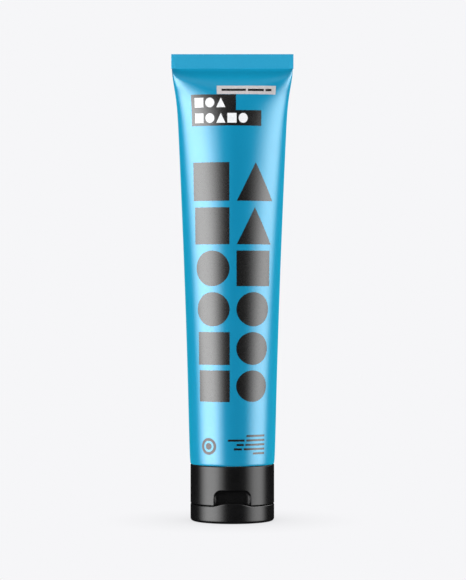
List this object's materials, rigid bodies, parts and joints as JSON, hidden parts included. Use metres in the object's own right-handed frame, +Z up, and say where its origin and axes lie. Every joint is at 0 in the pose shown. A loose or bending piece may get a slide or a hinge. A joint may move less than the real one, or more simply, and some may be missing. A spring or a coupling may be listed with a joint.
{
  "type": "squeeze tube with flip-top cap",
  "caption": "Blue squeeze tube of shaving cream standing on a black flip-top cap, with a flat sealed crimp at its other end.",
  "frame": {"origin": "centre of the lid's flat outer face, which the tube stands on", "axes": "+Z up along the tube from the cap to the crimp, -Y out of the front with the finger recess and the print, +X to the right as seen from the front"},
  "size_m": [0.0552, 0.038, 0.2102],
  "materials": {
    "sleeve_blue": "satin",
    "head_white": "satin",
    "barrier_silver": "satin",
    "cream": "matte",
    "cap_black": "satin"
  },
  "bodies": {
    "tube": {"tube_sleeve": "sleeve_blue", "tube_head": "head_white", "barrier_insert": "barrier_silver", "cream_fill": "cream", "cap_body": "cap_black", "hinge_strap": "cap_black", "hinge_spring_left": "cap_black", "hinge_spring_right": "cap_black"},
    "lid": {"cap_lid": "cap_black"}
  },
  "joints": [
    {"name": "lid_hinge", "type": "hinge", "parent": "tube", "child": "lid", "pos_m": [0, 0.01815, 0.0078], "axis": [1, 0, 0], "range_deg": [0, 180], "deforming": ["hinge_strap", "hinge_spring_left", "hinge_spring_right"]}
  ]
}
